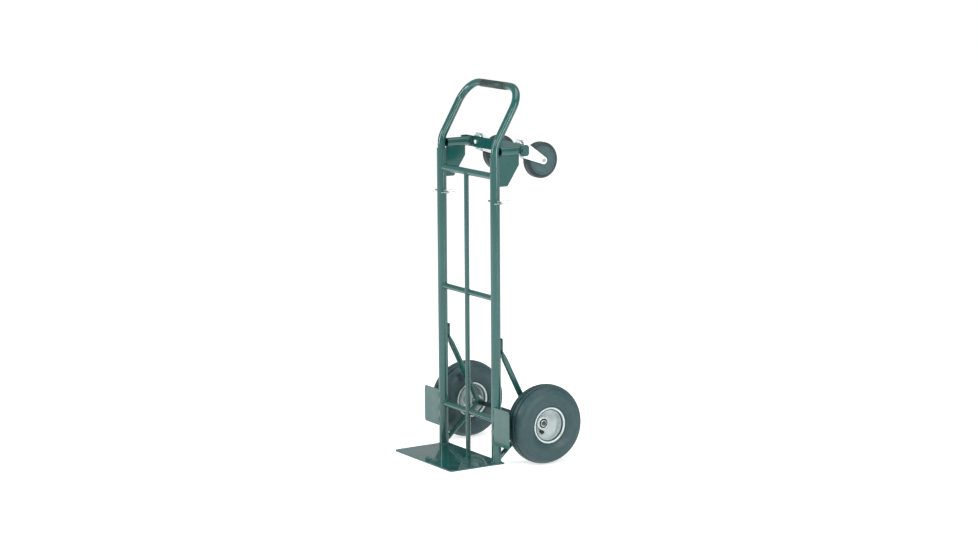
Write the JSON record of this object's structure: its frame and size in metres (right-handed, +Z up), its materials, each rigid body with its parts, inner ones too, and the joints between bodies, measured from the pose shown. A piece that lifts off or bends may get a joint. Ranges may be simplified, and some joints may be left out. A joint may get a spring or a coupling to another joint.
{
  "type": "convertible hand truck",
  "caption": "Upright hand truck in welded green tube with a flat nose plate, pneumatic wheels, a pull-out looped handle and swivel casters behind for platform use.",
  "frame": {"origin": "on the floor, at the middle of the truck's overall length and width", "axes": "+X across the truck, +Y from the nose plate towards the casters, +Z up"},
  "size_m": [0.5574, 0.4505, 1.2213],
  "materials": {
    "frame_paint": "glossy dark green enamel over welded steel tube",
    "wheel_paint": "light grey satin enamel",
    "axle_steel": "dark oiled steel",
    "zinc": "bright zinc plate",
    "bearing_steel": "dark shielded bearing steel",
    "pin_steel": "zinc plated, slightly dull",
    "clip_wire": "bright spring wire",
    "tyre_rubber": "matt black pneumatic tyre",
    "tube_rubber": "smooth black butyl",
    "valve_rubber": "smooth black rubber",
    "caster_rubber": "dark grey moulded rubber",
    "caster_core": "dark grey moulded polyolefin"
  },
  "bodies": {
    "frame": {"nose_plate": "frame_paint", "centre_tube": "frame_paint", "top_cross_tube": "frame_paint", "middle_cross_tube": "frame_paint", "lower_cross_tube": "frame_paint", "caster_bar": "frame_paint", "axle": "axle_steel", "axle_washers": "zinc", "axle_retainers": "zinc", "ear_bolts": "axle_steel", "kingpins": "zinc", "left_rail": "frame_paint", "left_wheel_guard": "frame_paint", "left_upper_brace": "frame_paint", "left_lower_brace": "frame_paint", "left_axle_bracket": "frame_paint", "left_socket_tube": "frame_paint", "left_gusset": "frame_paint", "left_caster_race": "zinc", "left_caster_balls": "bearing_steel", "right_rail": "frame_paint", "right_wheel_guard": "frame_paint", "right_upper_brace": "frame_paint", "right_lower_brace": "frame_paint", "right_axle_bracket": "frame_paint", "right_socket_tube": "frame_paint", "right_gusset": "frame_paint", "right_caster_race": "zinc", "right_caster_balls": "bearing_steel"},
    "handle": {"handle_loop": "frame_paint"},
    "left_wheel": {"left_tyre": "tyre_rubber", "left_inner_tube": "tube_rubber", "left_outer_rim": "wheel_paint", "left_inner_rim": "wheel_paint", "left_hub": "wheel_paint", "left_wheel_bearings": "bearing_steel", "left_valve_stem": "valve_rubber"},
    "left_caster": {"left_caster_fork": "zinc", "left_caster_bolt": "zinc"},
    "left_caster_wheel": {"left_caster_core": "caster_core", "left_caster_tread": "caster_rubber", "left_caster_bush": "bearing_steel"},
    "left_pin": {"left_lock_pin": "pin_steel"},
    "left_clip": {"left_clip": "clip_wire"},
    "right_wheel": {"right_tyre": "tyre_rubber", "right_inner_tube": "tube_rubber", "right_outer_rim": "wheel_paint", "right_inner_rim": "wheel_paint", "right_hub": "wheel_paint", "right_wheel_bearings": "bearing_steel", "right_valve_stem": "valve_rubber"},
    "right_caster": {"right_caster_fork": "zinc", "right_caster_bolt": "zinc"},
    "right_caster_wheel": {"right_caster_core": "caster_core", "right_caster_tread": "caster_rubber", "right_caster_bush": "bearing_steel"},
    "right_pin": {"right_lock_pin": "pin_steel"},
    "right_clip": {"right_clip": "clip_wire"}
  },
  "joints": [
    {"name": "handle_lift", "type": "slide", "parent": "frame", "child": "handle", "axis": [0, 0, 1], "range_m": [0, 0.14]},
    {"name": "left_wheel_spin", "type": "hinge", "parent": "frame", "child": "left_wheel", "pos_m": [-0.23438, 0.09575, 0.1295], "axis": [1, 0, 0], "continuous": true},
    {"name": "left_caster_swivel", "type": "hinge", "parent": "frame", "child": "left_caster", "pos_m": [-0.122, 0.08015, 1.012], "axis": [0, 1, 0], "continuous": true},
    {"name": "left_caster_spin", "type": "hinge", "parent": "left_caster", "child": "left_caster_wheel", "pos_m": [-0.122, 0.15765, 0.97], "axis": [1, 0, 0], "continuous": true},
    {"name": "left_pin_pull", "type": "slide", "parent": "frame", "child": "left_pin", "axis": [1, 0, 0], "range_m": [0, 0.054]},
    {"name": "left_clip_pull", "type": "slide", "parent": "left_pin", "child": "left_clip", "axis": [0, 1, 0], "range_m": [0, 0.026]},
    {"name": "right_wheel_spin", "type": "hinge", "parent": "frame", "child": "right_wheel", "pos_m": [0.23438, 0.09575, 0.1295], "axis": [1, 0, 0], "continuous": true},
    {"name": "right_caster_swivel", "type": "hinge", "parent": "frame", "child": "right_caster", "pos_m": [0.122, 0.08015, 1.012], "axis": [0, 1, 0], "continuous": true},
    {"name": "right_caster_spin", "type": "hinge", "parent": "right_caster", "child": "right_caster_wheel", "pos_m": [0.122, 0.15765, 0.97], "axis": [1, 0, 0], "continuous": true},
    {"name": "right_pin_pull", "type": "slide", "parent": "frame", "child": "right_pin", "axis": [1, 0, 0], "range_m": [0, 0.054]},
    {"name": "right_clip_pull", "type": "slide", "parent": "right_pin", "child": "right_clip", "axis": [0, 1, 0], "range_m": [0, 0.026]}
  ]
}
